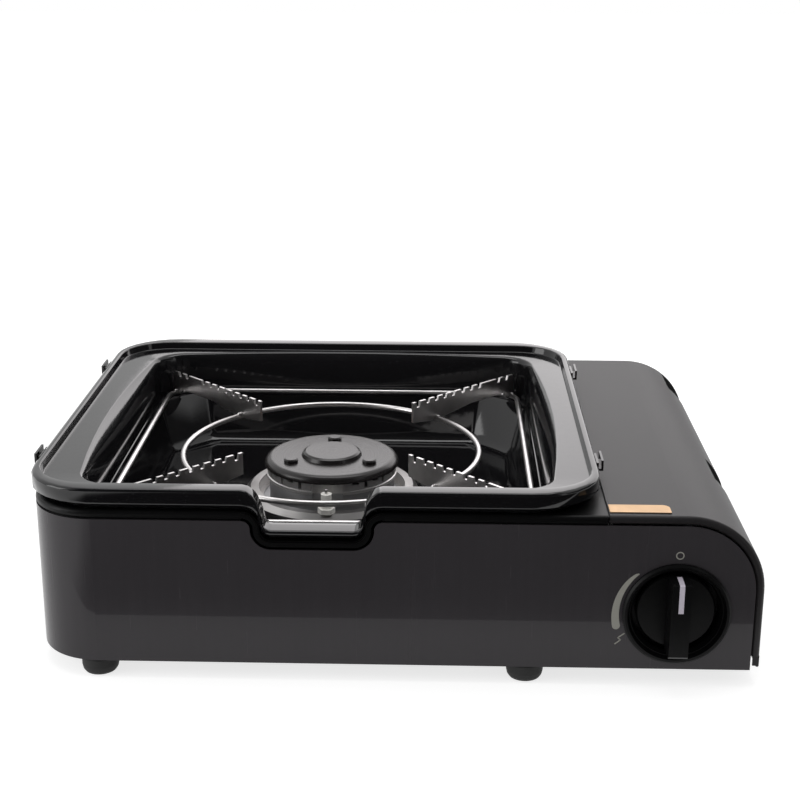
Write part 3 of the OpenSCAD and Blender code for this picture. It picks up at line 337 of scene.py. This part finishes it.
def smooth_copy(node, angle):
    """A merged copy of a CAD node's mesh, smooth except at edges sharper than the angle."""
    merge_within = 2e-6
    mesh = NODES[node].data.copy()
    mesh.name = node + "_smooth"
    b = bmesh.new()
    b.from_mesh(mesh)
    bmesh.ops.remove_doubles(b, verts=b.verts, dist=merge_within)
    bmesh.ops.join_triangles(b, faces=b.faces, angle_face_threshold=math.radians(35),
                             angle_shape_threshold=math.radians(60), cmp_seam=False, cmp_sharp=False,
                             cmp_uvs=False, cmp_vcols=False, cmp_materials=False)
    for face in b.faces:
        face.smooth = True
    for edge in b.edges:
        edge.smooth = not (edge.is_manifold and edge.calc_face_angle(0) > angle)
    b.to_mesh(mesh)
    b.free()
    return flat_weighted(mesh)


def flat_weighted(mesh):
    """The same mesh with normals led by the large faces, so that flats stay flat and bends stay narrow.

    The mesh is then divided in place, which spreads those normals evenly over its long faces.
    """
    carrier = linked(mesh.name + "_carrier", mesh)
    flats = carrier.modifiers.new("flats", "WEIGHTED_NORMAL")
    flats.keep_sharp = True
    flats.weight = 50
    finer = carrier.modifiers.new("finer", "SUBSURF")
    finer.subdivision_type = "SIMPLE"
    finer.levels = finer.render_levels = 2
    finer.use_custom_normals = True
    return plain_mesh(carrier, mesh.name)


def pressed_tray():
    """The enamelled tray, rounded off between the solid's rings."""
    made = piece("pressed_tray", smooth_copy("tray", math.radians(75)), "tray", "enamel")
    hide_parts("tray")


def flat_print(name, outlines):
    """Thin printed shapes on the front panel, drawn in X and Z about the knob, in millimetres."""
    print_face = PANEL_FRONT - 0.12 * MM
    b = bmesh.new()
    for outer in outlines:
        front, back = ([b.verts.new((KNOB.x + x * MM, y, KNOB.z + z * MM)) for x, z in outer]
                       for y in (print_face, PANEL_FRONT))
        b.faces.new(front)
        b.faces.new(back[::-1])
        for i in range(len(outer)):
            j = (i + 1) % len(outer)
            b.faces.new((front[i], back[i], back[j], front[j]))
    bmesh.ops.recalc_face_normals(b, faces=b.faces)
    mesh = bpy.data.meshes.new(name)
    b.to_mesh(mesh)
    b.free()
    piece(name, mesh, "body", "pointer", DIAL_PRINT)


def clock(radius, angle):
    """Point at an angle counter-clockwise from twelve o'clock."""
    a = math.radians(angle)
    return (-radius * math.sin(a), radius * math.cos(a))


def stroke(start, end, width):
    """Four corners of a straight stroke."""
    way = Vector((end[0] - start[0], end[1] - start[1])).normalized()
    side = Vector((-way.y, way.x)) * width / 2
    a, c = Vector(start) - way * width / 4, Vector(end) + way * width / 4
    return [tuple(a + side), tuple(a - side), tuple(c - side), tuple(c + side)]


def off_ring():
    """Short pieces of the small ring above the knob."""
    count = 28
    middle, outer, inner = 33.1, 2.2, 1.62
    ring = []
    for k in range(count):
        turns = [2 * math.pi * (k + j) / count for j in (0, 1)]
        ring.append([(r * math.sin(a), middle + r * math.cos(a))
                     for r, a in zip((outer, outer, inner, inner), turns + turns[::-1])])
    return ring


def flame_wedge():
    """Short pieces of the wedge that widens with the flame, and its round end."""
    count, round_count = 30, 12
    start, end, inner = 42.5, 103.3, 30.3
    narrow, wide, swell = 0.5, 4.2, 0.45
    edge = [(start + (end - start) * k / count, inner + narrow + (wide - narrow) * (k / count) ** swell)
            for k in range(count + 1)]
    wedge = [[clock(inner, a0), clock(inner, a1), clock(r1, a1), clock(r0, a0)]
             for (a0, r0), (a1, r1) in zip(edge, edge[1:])]
    half = wide / 2
    middle = inner + half
    turns = [math.pi * k / round_count for k in range(round_count + 1)]
    foot = [clock(middle + half * math.cos(a), end + math.degrees(half * math.sin(a) / middle))
            for a in turns]
    return wedge + [foot]


def spark():
    """Strokes of the small flash below the wedge."""
    line_w = 0.62
    zigzag = [(-26.9, -11.9), (-30.3, -14.5), (-28.7, -15.7), (-31.7, -18.1)]
    return [stroke(a, c, line_w) for a, c in zip(zigzag, zigzag[1:])]


class Tree:
    """A Geometry Nodes tree under construction, with named inputs."""

    def __init__(self, name, inputs):
        self.group = bpy.data.node_groups.new(name, "GeometryNodeTree")
        self.group.interface.new_socket("Geometry", in_out="INPUT", socket_type="NodeSocketGeometry")
        self.group.interface.new_socket("Geometry", in_out="OUTPUT", socket_type="NodeSocketGeometry")
        for label in inputs:
            self.group.interface.new_socket(label, in_out="INPUT", socket_type="NodeSocketFloat")
        self.entry = self.group.nodes.new("NodeGroupInput")
        self.exit = self.group.nodes.new("NodeGroupOutput")

    def input(self, label):
        return self.entry.outputs[label]

    def node(self, kind, settings=None, sockets=None):
        """Adds a node and gives its first output."""
        made = self.group.nodes.new(kind)
        for key, value in (settings or {}).items():
            setattr(made, key, value)
        for key, value in (sockets or {}).items():
            for entry in value if isinstance(value, list) else [value]:
                if isinstance(entry, bpy.types.NodeSocket):
                    self.group.links.new(entry, made.inputs[key])
                else:
                    made.inputs[key].default_value = entry
        return made.outputs[0]

    def times(self, socket, factor):
        return self.node("ShaderNodeMath", {"operation": "MULTIPLY"}, {0: socket, 1: factor})

    def close(self, instances, finish):
        """Ends the tree in real geometry with one finish."""
        real = self.node("GeometryNodeRealizeInstances", {}, {"Geometry": instances})
        dressed = self.node("GeometryNodeSetMaterial", {}, {"Geometry": real, "Material": finish})
        self.group.links.new(dressed, self.exit.inputs[0])


def grown(name, tree, points, sizes, body, slot):
    """Runs a tree on a cloud of points and keeps the result as a plain mesh piece."""
    seed = bpy.data.meshes.new(name + "_points")
    seed.from_pydata(points, [], [])
    carrier = linked(name + "_carrier", seed)
    modifier = carrier.modifiers.new("grow", "NODES")
    modifier.node_group = tree.group
    for item in tree.group.interface.items_tree:
        if item.in_out == "INPUT" and item.name in sizes:
            modifier[item.identifier] = sizes[item.name]
    piece(name, plain_mesh(carrier, name), body, slot)


def bead_tree(finish):
    """A small flattened bead of weld at every point."""
    t = Tree("weld_bead", ["Radius", "Flatness"])
    ball = t.node("GeometryNodeMeshIcoSphere", {}, {"Radius": t.input("Radius"), "Subdivisions": 3})
    smooth = t.node("GeometryNodeSetShadeSmooth", {}, {"Geometry": ball})
    size = t.node("ShaderNodeCombineXYZ", {}, {"X": 1.0, "Y": 1.0, "Z": t.input("Flatness")})
    spots = t.node("GeometryNodeInstanceOnPoints", {},
                   {"Points": t.input("Geometry"), "Instance": smooth, "Scale": size})
    t.close(spots, finish)
    return t


def screw_tree(finish):
    """A low screw head with a cross recess, pointing down, at every point."""
    face_share, slot_share, slot_drop = 0.72, 0.22, -0.35
    t = Tree("pan_screw", ["Radius", "Height"])
    radius, height = t.input("Radius"), t.input("Height")
    head = t.node("GeometryNodeMeshCone", {"fill_type": "NGON"},
                  {"Vertices": 28, "Radius Top": radius, "Radius Bottom": t.times(radius, face_share),
                   "Depth": height})
    slim = t.times(radius, slot_share)
    down = t.node("ShaderNodeCombineXYZ", {}, {"Z": t.times(height, slot_drop)})
    bars = []
    for x, y in ((radius, slim), (slim, radius)):
        size = t.node("ShaderNodeCombineXYZ", {}, {"X": x, "Y": y, "Z": height})
        bar = t.node("GeometryNodeMeshCube", {}, {"Size": size})
        bars.append(t.node("GeometryNodeTransform", {}, {"Geometry": bar, "Translation": down}))
    cut = t.node("GeometryNodeMeshBoolean", {"operation": "DIFFERENCE"}, {0: head, 1: bars})
    spots = t.node("GeometryNodeInstanceOnPoints", {}, {"Points": t.input("Geometry"), "Instance": cut})
    t.close(spots, finish)
    return t


def support_welds():
    """Beads where the blades meet the wires, and where the frame wire's ends join."""
    _, ring_high, middle = span("support_ring")
    _, square_high, square_middle = span("support_frame")
    wire_r = ring_high.z - middle.z
    ring_r = ring_high.x - middle.x - wire_r
    corner = square_high.x - square_middle.x - wire_r
    bend = 15 * MM
    diagonal = (corner - bend) * math.sqrt(2) + bend
    beside_blade, join_step = 1.5 * MM, 1.6 * MM
    blade_z = middle.z + 0.9 * wire_r
    join_z = middle.z + 0.45 * wire_r
    points = []
    for k in range(4):
        a = math.radians(45 + 90 * k)
        for radius in (ring_r, diagonal):
            for side in (-beside_blade, beside_blade):
                points.append((middle.x + radius * math.cos(a) - side * math.sin(a),
                               middle.y + radius * math.sin(a) + side * math.cos(a), blade_z))
    for step in (-join_step, 0.0, join_step):
        points.append((middle.x - corner, middle.y + step, join_z))
    grown("support_welds", bead_tree(FINISHES["wire_steel"]), points,
          {"Radius": 1.4 * MM, "Flatness": 0.7}, "pan_support", "wire_steel")


def base_screws():
    """Screws that hold the base pan, on its underside."""
    low, high, _ = span("base_pan")
    head_r, head_h, inset = 3.2 * MM, 1.4 * MM, 14 * MM
    points = []
    for share in (0.16, 0.38, 0.6, 0.82):
        x = low.x + (high.x - low.x) * share
        for y in (low.y + inset, high.y - inset):
            points.append((x, y, low.z - head_h / 2))
    grown("base_screws", screw_tree(FINISHES["zinc"]), points,
          {"Radius": head_r, "Height": head_h}, "body", "zinc")


pressed_tray()
flat_print("off_mark", off_ring())
flat_print("flame_wedge", flame_wedge())
flat_print("spark_mark", spark())
support_welds()
base_screws()


# Studio

def light_paths(f):
    """1 for rays that see the plain background: camera, glossy and transmission rays."""
    paths = f.tree.nodes.new("ShaderNodeLightPath")
    kinds = ("Is Camera Ray", "Is Glossy Ray", "Is Transmission Ray")
    camera, glossy, through = (Value(f, paths.outputs[kind]) for kind in kinds)
    return camera.most(glossy).most(through)


def studio_sheet(name, corners, finish):
    """Flat sheet between four corners."""
    mesh = bpy.data.meshes.new(name)
    mesh.from_pydata(corners, [], [(0, 1, 2, 3)])
    mesh.materials.append(finish.material)
    return linked(name, mesh)


def white_floor():
    """Large pale floor that stays white around the object and keeps its shadow."""
    near, far, reach = 0.35, 0.9, 6
    f = Finish("white_floor")
    x, y, _ = f.parts(f.place())
    away = ((x * x + y * y) ** 0.5).step(near, far)
    glow = f.node("ShaderNodeEmission", {},
                  {"Color": f.blend(away, (0.74, 0.74, 0.74), (1, 1, 1)), "Strength": 1.0})
    lit = f.node("ShaderNodeAddShader", {}, {0: glow, 1: f.dull(0.46)})
    f.close(f.node("ShaderNodeMixShader", {}, {0: light_paths(f), 1: f.dull(0.8), 2: lit}))
    corners = [(-reach, -reach, 0), (reach, -reach, 0), (reach, reach, 0), (-reach, reach, 0)]
    floor = studio_sheet("floor", corners, f)


def white_world():
    """White background for camera and reflections, a plain level of light otherwise."""
    plain_level = 0.55
    world = bpy.data.worlds.new("studio")
    bpy.context.scene.world = world
    world.use_nodes = True
    f = Finish("studio", world.node_tree)
    strength = plain_level + light_paths(f) * (1 - plain_level)
    back = f.node("ShaderNodeBackground", {}, {"Color": (1, 1, 1, 1), "Strength": strength})
    f.node("ShaderNodeOutputWorld", {}, {"Surface": back})


def softbox(name, place, target, size, power, tint=(1, 1, 1)):
    """Rectangular area lamp turned to a target."""
    lamp = bpy.data.lights.new(name, "AREA")
    lamp.shape = "RECTANGLE"
    lamp.size, lamp.size_y = size
    lamp.energy = power
    lamp.color = tint
    made = linked(name, lamp)
    made.location = place
    made.rotation_euler = (Vector(target) - Vector(place)).to_track_quat("-Z", "Y").to_euler()
    made.visible_camera = False


def dark_card(name, corners, fade, tone):
    """Black or grey card that only reflections see, as in a photo studio, with a soft left edge."""
    f = Finish(name)
    x, _, _ = f.parts(f.place())
    left = min(corner[0] for corner in corners)
    clear = f.node("ShaderNodeBsdfTransparent")
    f.close(f.node("ShaderNodeMixShader", {}, {0: x.step(left, left + fade), 1: clear, 2: f.dull(tone)}))
    card = studio_sheet(name, corners, f)
    card.visible_camera = False
    card.visible_diffuse = False
    card.visible_shadow = False


def photo_camera():
    """Camera fitted to the photograph."""
    yaw, pitch, roll = -0.026, 0.309, 0.003
    place = Vector((24.72, -862.28, 389.62)) * MM
    sensor, focal_px, image_px = 36.0, 1498.725, 800
    ahead = Vector((math.sin(yaw) * math.cos(pitch), math.cos(yaw) * math.cos(pitch), -math.sin(pitch)))
    right = Vector((math.cos(yaw), -math.sin(yaw), 0))
    up = right.cross(ahead)
    across = right * math.cos(roll) + up * math.sin(roll)
    upright = up * math.cos(roll) - right * math.sin(roll)
    data = bpy.data.cameras.new("camera")
    data.sensor_width = sensor
    data.lens = sensor * focal_px / image_px
    data.clip_start, data.clip_end = 0.01, 50.0
    camera = linked("camera", data)
    camera.matrix_world = Matrix((
        (across.x, upright.x, -ahead.x, place.x),
        (across.y, upright.y, -ahead.y, place.y),
        (across.z, upright.z, -ahead.z, place.z),
        (0, 0, 0, 1)))
    bpy.context.scene.camera = camera


white_floor()
white_world()
softbox("back_softbox", place=(0.65, 1.7, 0.75), target=(0.1, 0, 0.1), size=(2.4, 1.1), power=10.5,
        tint=(1, 0.955, 0.97))
softbox("top_softbox", place=(0.0, 0.1, 1.5), target=(0, 0, 0), size=(1.0, 1.0), power=9)
softbox("left_softbox", place=(-1.3, -0.5, 0.55), target=(-0.1, 0, 0.05), size=(0.7, 0.9), power=6)
dark_card("floor_card", [(-0.29, -0.215, 0.001), (0.9, -0.215, 0.001),
                         (0.9, -1.4, 0.001), (-0.29, -1.4, 0.001)], fade=0.09, tone=0.01)
dark_card("front_card", [(-1.6, -1.5, 0.0), (1.6, -1.5, 0.0),
                         (1.6, -1.2, 2.2), (-1.6, -1.2, 2.2)], fade=0.3, tone=0.03)
dark_card("low_card", [(-0.1, 1.55, 0.0), (2.4, 1.55, 0.0),
                       (2.4, 1.55, 0.27), (-0.1, 1.55, 0.27)], fade=0.35, tone=0.1)
dark_card("roof_card", [(-1.0, -1.2, 1.45), (1.0, -1.2, 1.45),
                        (1.0, 0.1, 1.45), (-1.0, 0.1, 1.45)], fade=0.3, tone=0.05)
dark_card("right_card", [(1.7, -1.0, 0.25), (1.7, 1.2, 0.25),
                         (1.5, 1.2, 1.9), (1.5, -1.0, 1.9)], fade=0.1, tone=0.1)
photo_camera()
bpy.context.scene.view_settings.view_transform = "Standard"
